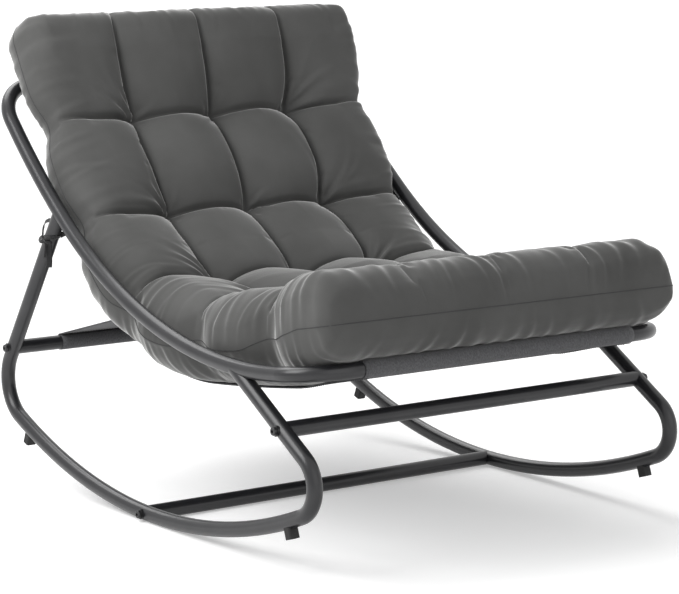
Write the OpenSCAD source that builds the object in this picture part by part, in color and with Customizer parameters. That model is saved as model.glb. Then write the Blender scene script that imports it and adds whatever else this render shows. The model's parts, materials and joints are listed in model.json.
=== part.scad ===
// Papasan rocking chair: a loop of bent tube on two rockers, with a sling and one long tufted cushion.
// Millimetres. The chair faces -Y, +X is the sitter's left, +Z is up, and the floor is Z = 0.

/* [Tube] */
// Outside diameter of every frame tube
tube_d = 25; // [20:0.5:30]
// Wall of every frame tube
tube_wall = 1.5; // [1:0.1:2.5]
// Space left where a cut tube end or a soft part meets its neighbour
seat_gap = 0.2; // [0.1:0.05:0.5]

/* [Rockers] */
// Radius of the long arc that rolls on the floor, at the tube's centre line
floor_arc_r = 1087; // [900:1:1300]
// Lowest point of the floor arc, measured from the origin towards the back
floor_arc_y = -34.4; // [-80:1:40]
// Angle of the floor arc in front of its lowest point
front_arc_angle = 21.8; // [16:0.1:26]
// Angle of the floor arc behind its lowest point
rear_arc_angle = 24.2; // [18:0.1:28]
// Radius of the tight bend at the front
front_bend_r = 50; // [40:1:80]
// Radius of the bend at the back
rear_bend_r = 71; // [45:1:100]
// Slope of the front strut above the floor
strut_slope = 31.5; // [26:0.1:36]
// Slope of the rear leg above the floor
leg_slope = 56.4; // [50:0.1:64]

/* [Seat loop] */
// Place of the front bar along the chair
front_bar_y = -463.4; // [-500:1:-430]
// Height of the front bar's axis
front_bar_z = 307.5; // [280:0.5:340]
// Radius of the four corner bends of the loop
corner_r = 80; // [50:1:110]
// Straight tube between a corner bend and the bar that plugs on it
corner_tail = 30; // [15:1:60]
// Fall of the side rail where it leaves the front corner
rail_dip = 6.7; // [3:0.1:10]
// Radius of the side rail along the seat
seat_curve_r = 874; // [800:1:950]
// Angle of the side rail's seat curve
seat_curve_angle = 44.5; // [40:0.1:48]
// Radius of the side rail along the back
back_curve_r = 1541; // [1200:1:2000]
// Angle of the side rail's back curve
back_curve_angle = 8.5; // [6:0.1:12]
// Length of the reduced spigots that hold the front and top bars
spigot_l = 45; // [25:1:70]
// Diameter of the set screws in the spigots
set_screw_d = 6; // [4:0.5:7]

/* [Crossbars] */
// Distance of the front crossbar up the strut from the front bend
front_crossbar_up = 67; // [40:1:110]
// Place of the bottom crossbar along the chair
bottom_crossbar_y = -3.4; // [-80:1:80]
// Distance of the rear crossbar up the leg from the rear bend
rear_crossbar_up = 20; // [5:1:80]
// Diameter of the crossbar bolts
bolt_d = 8; // [6:1:10]
// Diameter of the round bolt heads
bolt_head_d = 13; // [11:0.5:16]
// Height of the round bolt heads
bolt_head_h = 6; // [4:0.5:8]
// Diameter of the washers
washer_d = 17; // [15:0.5:20]
// Thickness of the washers
washer_t = 1.5; // [1:0.1:2.5]
// Length of the threaded plugs in the crossbar ends
plug_l = 22; // [15:1:40]

/* [Feet] */
// Distance of the front stops along the floor arc from its lowest point, in degrees
front_foot_angle = 19.9; // [14:0.1:21]
// Distance of the rear stops along the floor arc from its lowest point, in degrees
rear_foot_angle = 21.9; // [16:0.1:23]
// Width of a rubber stop across the chair
foot_w = 18; // [12:0.5:24]
// Length of a rubber stop along the tube
foot_l = 16; // [12:0.5:24]
// Height of a rubber stop below the tube
foot_h = 15; // [8:0.5:18]
// Diameter of the screw that holds a stop
foot_screw_d = 4; // [3:0.5:5]

/* [Sling] */
// Width of the sling
sling_w = 544; // [400:1:560]
// Thickness of the woven fabric
sling_t = 1.5; // [1:0.1:2.5]
// Air between a sleeve and its tube
sleeve_gap = 0.3; // [0.2:0.05:0.8]
// Where the rear flap is sewn on, along the cushion's middle line from its front seam
flap_s = 668; // [600:1:720]
// Length of the flap that is sewn flat on the sling
flap_lap = 24; // [15:1:40]

/* [Cushion] */
// Length of the cushion along its middle line
cushion_l = 1185; // [1150:1:1220]
// Width of the cushion, which sets the distance between the rockers
cushion_w = 690; // [600:1:760]
// Space between the cushion and the side rail on each side
cushion_gap = 5; // [3:0.5:15]
// Distance of the middle line above the axis of the front bar
front_rise = 70.5; // [66:0.5:80]
// Length of the cushion in front of the front bar
front_overhang = 44; // [38:1:52]
// Distance of the middle line above the axis of the top bar
top_rise = 69; // [64:0.5:80]
// Fall of the middle line at the front seam
front_fall = 11.3; // [9:0.1:14]
// Radius of the middle line along the seat
seat_line_r = 3950; // [3000:50:6000]
// Angle of the middle line's seat curve
seat_line_angle = 6.3; // [5:0.1:7]
// Radius of the middle line where the seat turns into the back
bend_line_r = 345; // [320:1:380]
// Angle of that bend
bend_line_angle = 57; // [54:0.5:59]
// Pillows along the cushion
pillow_rows = 6; // [4:1:6]
// Height of a pillow above the middle line
pillow_h = 80; // [65:1:95]
// Depth of the cushion below its middle line, at the seat
seat_depth = 94; // [84:1:100]
// Width of the rounded edge all round the cushion
edge_round = 68; // [55:1:80]
// Depth of the sewn creases between the tufts
crease_depth = 30; // [10:1:45]

/* [Ties] */
// Width of the ribbon
ribbon_w = 15; // [10:1:20]
// Thickness of the ribbon
ribbon_t = 1; // [0.6:0.1:1.5]
// Distance of the ribbon below the rail's centre line, along the rear leg
tie_drop = 59; // [45:1:90]
// Length of a bow loop
loop_l = 46; // [30:1:60]
// Length of the longer loose end
tail_l = 60; // [40:1:90]

/* [Hidden] */

tube_fn = 48;
$fn = tube_fn;
tube_r = tube_d / 2;
bore_d = tube_d - 2 * tube_wall;
half_span = cushion_w / 2 + cushion_gap + tube_r;
frame_colour = [0.16, 0.16, 0.17];
steel_colour = [0.35, 0.35, 0.36];
rubber_colour = [0.07, 0.07, 0.07];
sling_colour = [0.22, 0.22, 0.23];
velvet_colour = [0.38, 0.38, 0.38];
ribbon_colour = [0.1, 0.1, 0.1];

// A point on the floor arc, a angle in degrees from its lowest point, off mm outside the centre line.
function floor_point(a, off = 0) =
    [floor_arc_y + (floor_arc_r + off) * sin(a), tube_r + floor_arc_r - (floor_arc_r + off) * cos(a)];

// The straight stretches of the rocker start where its tight bends end.
front_bend_end = floor_point(-front_arc_angle)
    + front_bend_r * [sin(front_arc_angle) - sin(strut_slope), cos(front_arc_angle) + cos(strut_slope)];
rear_bend_end = floor_point(rear_arc_angle)
    + rear_bend_r * [sin(leg_slope) - sin(rear_arc_angle), cos(rear_arc_angle) + cos(leg_slope)];
strut_dir = [cos(strut_slope), sin(strut_slope)];
leg_dir = [-cos(leg_slope), sin(leg_slope)];

// The side rail leaves the front corner, curves along the seat and then along the back.
rail_start = [front_bar_y + corner_r * cos(rail_dip), front_bar_z - corner_r * sin(rail_dip)];
seat_centre = rail_start + seat_curve_r * [sin(rail_dip), cos(rail_dip)];
seat_end_angle = seat_curve_angle - rail_dip;
rail_end_angle = seat_end_angle + back_curve_angle;
seat_end = seat_centre + seat_curve_r * [sin(seat_end_angle), -cos(seat_end_angle)];
rail_end = seat_end
    + back_curve_r * [sin(rail_end_angle) - sin(seat_end_angle), cos(seat_end_angle) - cos(rail_end_angle)];
top_bar_at = rail_end + corner_r * [cos(rail_end_angle), sin(rail_end_angle)];
front_bar_at = [front_bar_y, front_bar_z];

// Distance from a point below the rail, along a direction, to the centre line of the seat curve.
function reach(p, dir) =
    let (q = p - seat_centre, b = q * dir, c = q * q - seat_curve_r * seat_curve_r)
    -b - sqrt(b * b - c);
strut_l = reach(front_bend_end, strut_dir);
leg_l = reach(rear_bend_end, leg_dir);

// Crossbar axes, on the rocker's centre line.
front_crossbar_at = front_bend_end + front_crossbar_up * strut_dir;
bottom_angle = asin((bottom_crossbar_y - floor_arc_y) / floor_arc_r);
bottom_crossbar_at = floor_point(bottom_angle);
rear_crossbar_at = rear_bend_end + rear_crossbar_up * leg_dir;

// Each crossbar's place and the slope of the tube that it meets.
front_bar_joint = [front_crossbar_at, strut_slope];
bottom_bar_joint = [bottom_crossbar_at, bottom_angle];
rear_bar_joint = [rear_crossbar_at, -leg_slope];
crossbars = [front_bar_joint, bottom_bar_joint, rear_bar_joint];
bar_half = half_span - corner_r - corner_tail;
bolt_hole_d = bolt_d + 0.5;
plug_d = bore_d - 0.1;
plug_x = half_span - tube_r - 1;

// Segments of a full turn, so that long arcs stay round.
function arc_fn(r) = r > 8 * tube_d ? 360 : 72;

// The stretches of a bent tube are a hair apart, and a ring inside the wall joins each to the next.
hair = 0.02;
root_in = 0.15;
root_l = 2;

module ring_section(out_d, in_d) {
    difference() {
        circle(d = out_d);
        circle(d = in_d);
    }
}

module root_ring() {
    rotate([90, 0, 90]) translate([0, 0, -root_l]) linear_extrude(2 * root_l)
        ring_section(tube_d - 2 * root_in, bore_d + 2 * root_in);
}

// Draws a bent tube along its steps. It runs along +X, and a bend turns towards +Y.
// A step is ["straight", length], ["bend", radius, angle] or ["roll", angle].
module bent_tube(steps, i = 0) {
    if (i < len(steps)) {
        step = steps[i];
        if (step[0] != "roll" && i > 0) root_ring();
        if (step[0] == "straight") {
            translate([hair, 0, 0]) rotate([90, 0, 90]) linear_extrude(step[1] - hair)
                ring_section(tube_d, bore_d);
            translate([step[1], 0, 0]) bent_tube(steps, i + 1);
        }
        if (step[0] == "bend") {
            start = hair / step[1] * 180 / PI;
            translate([0, step[1], 0]) rotate(start - 90)
                rotate_extrude(angle = step[2] - start, $fn = arc_fn(step[1]))
                translate([step[1], 0]) ring_section(tube_d, bore_d, $fn = tube_fn);
            translate([0, step[1], 0]) rotate(step[2]) translate([0, -step[1], 0]) bent_tube(steps, i + 1);
        }
        if (step[0] == "roll") rotate([step[1], 0, 0]) bent_tube(steps, i + 1);
    }
}

// Puts a drawing made in the side view, X to the back and Y up, into the plane of the left rocker.
module in_left_side(at = [0, 0], heading = 0) {
    translate([-half_span, at[0], at[1]]) rotate([90, 0, 90]) rotate(heading) children();
}

module to_right() {
    mirror([1, 0, 0]) children();
}

module both_sides() {
    children();
    to_right() children();
}

// A round bar along X through a point of the side view, from x0 to x1.
module along_x(at, d, x0, x1) {
    translate([x0, at[0], at[1]]) rotate([0, 90, 0]) cylinder(d = d, h = x1 - x0);
}

// A short round bar along a tube of the left side, to shape what is fitted to that tube.
module beside_tube(at, heading, d) {
    in_left_side(at, heading) rotate([0, 90, 0]) cylinder(d = d, h = 3 * tube_d, center = true);
}

module rail_tube() {
    tail = corner_tail - 2 * tube_wall;
    translate([corner_r + tail - half_span, front_bar_y, front_bar_z])
        rotate([180 - rail_dip, 0, 0]) rotate(180) bent_tube([
            ["straight", tail],
            ["bend", corner_r, 90],
            ["roll", -90],
            ["bend", seat_curve_r, seat_curve_angle],
            ["bend", back_curve_r, back_curve_angle],
            ["roll", 90],
            ["bend", corner_r, 90],
            ["straight", tail]]);
}

module rocker_tube() {
    in_left_side(front_bend_end + strut_l * strut_dir, 180 + strut_slope) bent_tube([
        ["straight", strut_l],
        ["bend", front_bend_r, 180 - strut_slope - front_arc_angle],
        ["bend", floor_arc_r, front_arc_angle + rear_arc_angle],
        ["bend", rear_bend_r, 180 - leg_slope - rear_arc_angle],
        ["straight", leg_l]]);
}

// The rocker's ends are shaped to the rail's underside along its seat curve.
module rail_cut() {
    in_left_side(seat_centre) rotate(-100) rotate_extrude(angle = 60, $fn = arc_fn(seat_curve_r))
        translate([seat_curve_r, 0]) circle(d = tube_d + 2 * seat_gap, $fn = tube_fn);
}

// Set screws go in from below, halfway along each spigot.
screw_x = bar_half - spigot_l / 2;

module rocker() {
    color(frame_colour) difference() {
        rocker_tube();
        rail_cut();
        for (bar = crossbars) along_x(bar[0], bolt_hole_d, -half_span - tube_d, -half_span + tube_d);
        foot_screw_holes();
    }
}

// The rail's end is drawn down to a spigot that slides into the bar.
module spigot(at) {
    r = bore_d / 2 - 0.1;
    difference() {
        translate([-bar_half, at[0], at[1]]) rotate([0, 90, 0]) rotate_extrude() polygon([
            [tube_r, hair - 2 * tube_wall], [tube_r, -seat_gap], [r, -seat_gap], [r, spigot_l],
            [r - tube_wall, spigot_l], [r - tube_wall, hair - 2 * tube_wall]]);
        set_screw(at, set_screw_d, tube_d);
    }
}

module set_screw(at, d, h) {
    translate([-screw_x, at[0], at[1] - tube_r + 0.3]) cylinder(d = d, h = h - tube_r);
}

module side_rail() {
    color(frame_colour) {
        rail_tube();
        for (at = [front_bar_at, top_bar_at]) {
            spigot(at);
            translate([-bar_half - 2 * tube_wall, at[0], at[1]]) root_ring();
        }
    }
}

// A straight bar of the loop, bored for the spigots and for their set screws.
module loop_bar(at) {
    color(frame_colour) difference() {
        along_x(at, tube_d, -bar_half, bar_half);
        along_x(at, bore_d, -bar_half - 1, bar_half + 1);
        both_sides() translate([-screw_x, at[0], at[1] - tube_d]) cylinder(d = set_screw_d + 0.4, h = tube_d);
    }
}

module loop_bar_screws(at) {
    color(steel_colour) both_sides() difference() {
        set_screw(at, set_screw_d - 0.1, tube_r + 6);
        translate([-screw_x, at[0], at[1] - tube_r]) cylinder(d = set_screw_d / 2, h = 3, $fn = 6);
    }
}

module crossbar(bar) {
    color(frame_colour) difference() {
        along_x(bar[0], tube_d, -half_span, half_span);
        along_x(bar[0], bore_d, -half_span - 1, half_span + 1);
        both_sides() beside_tube(bar[0], bar[1], tube_d + 2 * seat_gap);
    }
}

module crossbar_plugs(bar) {
    color(steel_colour) both_sides() difference() {
        along_x(bar[0], plug_d, -plug_x + 3, -plug_x + plug_l);
        along_x(bar[0], bolt_d, -half_span, -plug_x + plug_l - 4);
    }
}

head_x = half_span + tube_r + washer_t;

module crossbar_bolts(bar) {
    at = bar[0];
    color(steel_colour) both_sides() difference() {
        union() {
            along_x(at, bolt_d - 0.1, -head_x, -plug_x + plug_l - 6);
            translate([-head_x, at[0], at[1]]) rotate([0, -90, 0]) bolt_head();
        }
        along_x(at, bolt_head_d * 0.45, -head_x - bolt_head_h - 1, -head_x - bolt_head_h / 3, $fn = 6);
    }
}

// A round head with a domed rim.
module bolt_head() {
    rim = bolt_head_h * 0.35;
    rotate_extrude() difference() {
        union() {
            square([bolt_head_d / 2 - rim, bolt_head_h]);
            square([bolt_head_d / 2, bolt_head_h - rim]);
            translate([bolt_head_d / 2 - rim, bolt_head_h - rim]) circle(rim);
        }
        translate([-bolt_head_d, 0]) square([bolt_head_d, bolt_head_h]);
    }
}

// A washer is curved to the tube on its inner face.
module washers() {
    color(steel_colour) both_sides() for (bar = crossbars) difference() {
        along_x(bar[0], washer_d, -head_x + hair, -half_span);
        beside_tube(bar[0], bar[1], tube_d + 2 * hair);
        along_x(bar[0], bolt_hole_d, -head_x - 1, half_span);
    }
}

// Puts children under the left floor arc: Z points into the tube and X along it.
module at_foot(angle) {
    p = floor_point(angle);
    translate([-half_span, p[0], p[1]]) rotate([angle, 0, 0]) children();
}

module foot(angle) {
    color(rubber_colour) difference() {
        at_foot(angle) translate([0, 0, -tube_r - foot_h]) linear_extrude(foot_h + tube_r * 0.45)
            rounded_box(foot_w, foot_l, 3);
        beside_tube(floor_point(angle), angle, tube_d + 2 * seat_gap);
        at_foot(angle) translate([0, 0, -tube_r - foot_h - 1]) {
            cylinder(d = foot_screw_d + 0.2, h = foot_h + tube_r);
            cylinder(d = foot_screw_d * 2.2, h = foot_h * 0.4 + 1);
        }
    }
}

module rounded_box(w, l, r) {
    union() {
        square([w - 2 * r, l], center = true);
        square([w, l - 2 * r], center = true);
        for (x = [-1, 1], y = [-1, 1]) translate([x * (w / 2 - r), y * (l / 2 - r)]) circle(r);
    }
}

module foot_screw(angle) {
    head_z = -tube_r - foot_h * 0.6;
    at_foot(angle) difference() {
        union() {
            translate([0, 0, head_z]) cylinder(d = foot_screw_d, h = -head_z - tube_r / 2);
            translate([0, 0, head_z - foot_screw_d * 0.6]) cylinder(d = foot_screw_d * 2, h = foot_screw_d * 0.6);
        }
        translate([0, 0, head_z - foot_screw_d]) cylinder(d = foot_screw_d, h = foot_screw_d * 0.8, $fn = 6);
    }
}

module foot_screw_holes() {
    for (a = [-front_foot_angle, rear_foot_angle])
        at_foot(a) translate([0, 0, -tube_d]) cylinder(d = foot_screw_d + 0.1, h = tube_d);
}

module foot_screws() {
    color(steel_colour) both_sides() for (a = [-front_foot_angle, rear_foot_angle]) foot_screw(a);
}

// Unit vector in the side view, a degrees above the way to the back.
function aim(a) = [cos(a), sin(a)];

// Sleeves go round their tubes, and soft parts lie a little clear of what carries them.
sleeve_r = tube_r + sleeve_gap;
sleeve_out = sleeve_r + sling_t;
rest_gap = seat_gap + 0.1;

// The cushion's middle line: along the seat, round the bend and up the back, where it clears the top bar.
cushion_front = front_bar_at + front_rise * aim(90 - front_fall) - front_overhang * aim(-front_fall);
seat_line_end = cushion_front + seat_line_r * (aim(90 - front_fall) - aim(90 - front_fall + seat_line_angle));
bend_start_a = seat_line_angle - front_fall;
bend_end_a = bend_start_a + bend_line_angle;
bend_line_end = seat_line_end + bend_line_r * (aim(90 + bend_start_a) - aim(90 + bend_end_a));
over_bar = bend_line_end - top_bar_at;
bend_normal = aim(90 + bend_end_a);
back_line_r = (top_rise * top_rise - over_bar * over_bar) / (2 * (over_bar * bend_normal - top_rise));
from_centre = top_bar_at - (bend_line_end + back_line_r * bend_normal);
top_lean = 90 + atan2(from_centre[1], from_centre[0]);
middle_line = [[seat_line_r, seat_line_angle], [bend_line_r, bend_line_angle], [back_line_r, 90]];
function arc_l(r, a) = r * a * PI / 180;
top_bar_s = arc_l(seat_line_r, seat_line_angle) + arc_l(bend_line_r, bend_line_angle)
    + arc_l(back_line_r, top_lean - bend_end_a);

// Point and heading, [y, z, angle], s mm along the middle line.
function middle_at(s, i = 0, p = cushion_front, a = -front_fall) =
    let (r = middle_line[i][0], full = middle_line[i][1], turn = s / arc_l(r, 1), b = a + min(turn, full),
        q = p + r * (aim(90 + a) - aim(90 + b)))
    turn <= full ? [q[0], q[1], b] : middle_at(s - arc_l(r, full), i + 1, q, b);

// A point off mm above the middle line in the side view.
function beside_middle(s, off) = let (m = middle_at(s)) [m[0], m[1]] + off * aim(90 + m[2]);

// Straight run between listed [s, value] pairs.
function between(table, s, i = 0) =
    s <= table[0][0] ? table[0][1] :
    i == len(table) - 1 ? table[i][1] :
    s > table[i + 1][0] ? between(table, s, i + 1) :
    let (f = (s - table[i][0]) / (table[i + 1][0] - table[i][0])) table[i][1] + f * (table[i + 1][1] - table[i][1]);

function rounded(d) = d >= edge_round ? 1 : sqrt(1 - pow(1 - max(d, 0) / edge_round, 2));

row_pitch = cushion_l / pillow_rows;

// Depth of the cushion below its middle line: it rests on both bars and is full in the seat.
front_depth = (front_rise - sleeve_out - 3.5 * rest_gap) / rounded(front_overhang);
back_depth = top_rise - sleeve_out - rest_gap;
function depth_at(s) = between([[1.1 * front_overhang, front_depth], [2.7 * front_overhang, seat_depth - 8],
    [row_pitch, seat_depth], [3.5 * row_pitch, seat_depth], [4.5 * row_pitch, (seat_depth + back_depth) / 2],
    [5.1 * row_pitch, back_depth]], s);

// Distance to the nearest crease line, leaving out the two outer edges.
function to_crease(d, pitch, count) = let (k = max(1, min(count - 1, round(d / pitch)))) abs(d - k * pitch);
function arch(d, pitch) = pow(sin(180 * min(d / pitch, 0.5)), 0.6);

// Height of the pillows' crests over the middle line, lower in the creases.
function crown(s) = pillow_h - crease_depth * (1 - arch(to_crease(s, row_pitch, pillow_rows), row_pitch));

// Lines across the cushion: close together at the ends and beside each crease.
function lines(edge, first, steps) =
    let (near = concat(edge * edge_round, first * row_pitch), n = len(near))
    concat(near, [for (k = [1:pillow_rows - 2], f = steps) (k + f) * row_pitch], [(pillow_rows - 1) * row_pitch],
        [for (i = [1:n]) cushion_l - near[n - i]]);
cushion_rows = lines([0, 0.2, 0.65, 1.1], [0.62, 0.86], [0, 0.14, 0.38, 0.62, 0.86]);
outline_rows = lines([0.04, 0.15, 0.32, 0.6, 1.0], [0.5, 0.7, 0.85, 0.95], [0, 0.05, 0.15, 0.3, 0.5, 0.7, 0.85, 0.95]);

// Distance of each layer from the cushion's edge, and its share of the thickness.
cushion_layers = [[0, 0.3], [6, 0.55], [16, 0.75], [30, 0.91], [50, 1]];
plan_corner_r = 50;

// The cushion's outline in the side view, at a share of its thickness and drawn in at both ends.
function fill(s, share, shorter) = share * rounded(min(s, cushion_l - s) - shorter);
module cushion_outline(share, shorter) {
    top = [for (s = concat([shorter], outline_rows, [cushion_l - shorter]))
        if (s >= shorter && s <= cushion_l - shorter) beside_middle(s, fill(s, share, shorter) * crown(s))];
    bottom = [for (s = cushion_rows)
        if (s > shorter + 1 && s < cushion_l - shorter - 1) beside_middle(s, -fill(s, share, shorter) * depth_at(s))];
    polygon(concat(top, [for (i = [1:len(bottom)]) bottom[len(bottom) - i]]));
}

// Wide thin layers inside narrow full ones round the cushion's long edges and its corners.
module cushion() {
    color(velvet_colour) for (layer = cushion_layers) {
        w = cushion_w - 2 * layer[0];
        c = plan_corner_r - layer[0];
        translate([-w / 2, 0, 0]) rotate([90, 0, 90]) linear_extrude(w)
            cushion_outline(layer[1], plan_corner_r - sqrt(plan_corner_r * plan_corner_r - c * c));
    }
}

// The sling follows the cushion's underside at the cushion's own grid lines.
sling_rows = [for (s = cushion_rows) if (s > 2.4 * front_overhang && s < top_bar_s - 20) s];
function under(s, extra) = beside_middle(s, -depth_at(s) - rest_gap - extra);

// A point under the sling between two of its rows.
function under_between(s, extra, i = 0) =
    s > sling_rows[i + 1] ? under_between(s, extra, i + 1) :
    let (f = (s - sling_rows[i]) / (sling_rows[i + 1] - sling_rows[i]))
    (1 - f) * under(sling_rows[i], extra) + f * under(sling_rows[i + 1], extra);

// Where a sheet's inner face meets the outside of the sleeve that it comes from.
sleeve_angle = acos(sleeve_r / sleeve_out);
function sleeve_arc(at, a) = [for (i = [0:30]) at + sleeve_out * aim(a + sleeve_angle + i * (360 - sleeve_angle) / 30)];
function touch_angle(at, p) = let (v = p - at) atan2(v[1], v[0]) - acos(sleeve_out / norm(v));

module sheet(w) {
    color(sling_colour) translate([-w / 2, 0, 0]) rotate([90, 0, 90]) linear_extrude(w) children();
}

module sling() {
    n = len(sling_rows);
    sheet(sling_w) difference() {
        polygon(concat(
            [for (s = sling_rows) under(s, sling_t)],
            sleeve_arc(top_bar_at, 90 + top_lean),
            [for (i = [1:n]) under(sling_rows[n - i], 0)],
            sleeve_arc(front_bar_at, touch_angle(front_bar_at, under(sling_rows[0], sling_t)))));
        translate(front_bar_at) circle(sleeve_r);
        translate(top_bar_at) circle(sleeve_r);
    }
}

// The flap runs from a sleeve on the rear crossbar up to the sling's underside.
module rear_flap() {
    hem = sling_t + seat_gap;
    sewn = under_between(flap_s, hem);
    a = touch_angle(rear_crossbar_at, sewn);
    sheet(sling_w - 4) difference() {
        polygon(concat(
            [under_between(flap_s - flap_lap, hem), under_between(flap_s - flap_lap, hem + sling_t),
                sewn - 1.1 * sling_t * aim(a)],
            sleeve_arc(rear_crossbar_at, a),
            [sewn]));
        translate(rear_crossbar_at) circle(sleeve_r);
    }
}

// A ribbon round the rear leg, knotted on its outer side, with a strap to the cushion's seam.
leg_tie_at = rear_bend_end + (leg_l - tie_drop) * leg_dir;
ring_r = tube_r + seat_gap + ribbon_t;

// A flat strip of ribbon from one point to another, its width upright.
module strap(from, to) {
    v = to - from;
    flat = norm([v[0], v[1]]);
    translate(from) rotate([0, -atan2(v[2], flat), atan2(v[1], v[0])])
        translate([0, -ribbon_t / 2, -ribbon_w / 2]) cube([norm(v), ribbon_t, ribbon_w]);
}

// Outline of a flat bow loop, pointed at the knot.
module petal(l, w) {
    polygon([for (t = [0:15:345]) [l * (1 - cos(t)) / 2, w * sin(t) * (1 - cos(t)) / 2.6]]);
}

// A loose end: a flat strip that hangs in a slight curve from inside the knot, cut off at a slant.
module tail(l) {
    sway = 6;
    n = 8;
    function half(i) = i == 0 ? 0.35 * ribbon_w : 0.5 * ribbon_w;
    polygon(concat([for (i = [0:n]) [sway * sin(i * 22) - half(i), -i * l / n]],
        [for (i = [n:-1:0]) [sway * sin(i * 22) + half(i), -i * l / n * 0.9]]));
}

module tie() {
    seam_s = 4 * row_pitch;
    seam = beside_middle(seam_s, 0);
    color(ribbon_colour) {
        in_left_side(leg_tie_at, 180 - leg_slope) rotate([0, 90, 0]) difference() {
            cylinder(r = ring_r, h = ribbon_w, center = true);
            cylinder(r = ring_r - ribbon_t, h = ribbon_w + 1, center = true);
        }
        strap([-half_span + ring_r - ribbon_t / 2, leg_tie_at[0] - 4, leg_tie_at[1]],
            [-cushion_w / 2 - rest_gap, seam[0], seam[1]]);
        translate([-half_span - ring_r - 2, 0, 0]) in_left_side_plane(leg_tie_at) {
            bow_layer(0) rotate(28) petal(0.8 * loop_l, ribbon_w);
            bow_layer(1) rotate(118) petal(loop_l, ribbon_w);
            bow_layer(2) rotate(-14) tail(0.7 * tail_l);
            bow_layer(3) rotate(-32) tail(tail_l);
            translate([0, 0, -6]) knot();
        }
    }
}

// One flat layer of the bow, counted outwards.
module bow_layer(i) {
    translate([0, 0, -i * (ribbon_t + seat_gap) - ribbon_t]) linear_extrude(ribbon_t) children();
}

// Side-view drawing plane through X = 0, turned so that Z points to +X.
module in_left_side_plane(at) {
    translate([0, at[0], at[1]]) rotate([90, 0, 90]) children();
}

// A low round knot, a little narrower than the ribbon.
knot_r = 0.45 * ribbon_w;
knot_h = 9;
knot_round = 3;

module knot() {
    rotate_extrude() {
        square([knot_r - knot_round, knot_h]);
        translate([0, knot_round]) square([knot_r, knot_h - knot_round]);
        translate([knot_r - knot_round, knot_round]) intersection() {
            circle(knot_round);
            translate([0, -knot_round]) square(knot_round);
        }
    }
}

rocker();  // left_rocker
to_right() rocker();  // right_rocker
side_rail();  // left_side_rail
to_right() side_rail();  // right_side_rail
loop_bar(front_bar_at);  // front_bar
loop_bar(top_bar_at);  // top_bar
loop_bar_screws(front_bar_at);  // front_bar_screws
loop_bar_screws(top_bar_at);  // top_bar_screws
crossbar(front_bar_joint);  // front_crossbar
crossbar(bottom_bar_joint);  // bottom_crossbar
crossbar(rear_bar_joint);  // rear_crossbar
crossbar_plugs(front_bar_joint);  // front_crossbar_plugs
crossbar_plugs(bottom_bar_joint);  // bottom_crossbar_plugs
crossbar_plugs(rear_bar_joint);  // rear_crossbar_plugs
crossbar_bolts(front_bar_joint);  // front_crossbar_bolts
crossbar_bolts(bottom_bar_joint);  // bottom_crossbar_bolts
crossbar_bolts(rear_bar_joint);  // rear_crossbar_bolts
washers();  // crossbar_washers
foot(-front_foot_angle);  // front_left_foot
to_right() foot(-front_foot_angle);  // front_right_foot
foot(rear_foot_angle);  // rear_left_foot
to_right() foot(rear_foot_angle);  // rear_right_foot
foot_screws();
sling();
rear_flap();
cushion();
tie();  // left_tie
to_right() tie();  // right_tie
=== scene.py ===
# %% [markdown]
# # A papasan rocking chair
# The chair has two very different kinds of surface. The bent steel tubes are exact shapes, so they come
# from the CAD model as they are and only get their paint. The cushion, the sling and the ribbons are
# cloth, which the CAD model holds as plain solids, so this lesson makes them again as cloth. Everything
# is in metres: the chair faces -Y, Z is up, and the floor is at Z = 0.

# %% Load the frame
import bpy
import json
import numpy as np
from math import acos, atan2, cos, degrees, hypot, pi, radians, sin
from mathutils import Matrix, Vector


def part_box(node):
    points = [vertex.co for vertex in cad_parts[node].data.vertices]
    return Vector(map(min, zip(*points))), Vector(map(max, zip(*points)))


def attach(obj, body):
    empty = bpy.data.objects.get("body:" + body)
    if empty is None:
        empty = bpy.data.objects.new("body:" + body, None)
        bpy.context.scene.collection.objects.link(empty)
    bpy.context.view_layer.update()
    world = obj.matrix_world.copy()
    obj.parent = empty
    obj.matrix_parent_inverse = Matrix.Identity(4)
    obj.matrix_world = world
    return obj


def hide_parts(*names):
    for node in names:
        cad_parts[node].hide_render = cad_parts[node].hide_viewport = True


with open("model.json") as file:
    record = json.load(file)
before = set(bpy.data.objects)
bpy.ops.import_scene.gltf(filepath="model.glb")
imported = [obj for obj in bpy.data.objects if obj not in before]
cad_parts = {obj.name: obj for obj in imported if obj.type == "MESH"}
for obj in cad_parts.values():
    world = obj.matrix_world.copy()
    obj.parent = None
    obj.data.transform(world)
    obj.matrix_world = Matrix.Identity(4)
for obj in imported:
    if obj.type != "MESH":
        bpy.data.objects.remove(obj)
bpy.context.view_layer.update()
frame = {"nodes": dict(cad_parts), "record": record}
nodes = frame["nodes"]
print("nodes:", len(nodes))

# %% [markdown]
# The camera stands in front of the chair and off to one side, a little above the top of the back, and
# looks slightly down. A long lens keeps the parallel tubes nearly parallel. Its place comes first, so
# that each piece can be looked at from there while it is made.

# %% Stand the camera
scene = bpy.context.scene
scene.view_settings.view_transform = "Standard"
camera = bpy.data.objects.new("camera", bpy.data.cameras.new("camera"))
scene.collection.objects.link(camera)
camera.location = (-2.4936, -3.4029, 0.9687)
camera.rotation_euler = (radians(90 - 8.51), 0, radians(-36.58))
camera.data.sensor_width = 36
camera.data.lens = 132.8
scene.camera = camera
print("camera to chair:", round(camera.location.length, 2), "m")

# %% [markdown]
# Cloth needs a guide to lie on. In the side view the cushion follows one smooth line of three arcs: the
# nearly flat seat, the bend, and the nearly flat back. Every soft piece is placed by its distance along
# this line, its distance across the chair, and its height over the line, so that it bends with the seat.

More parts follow.
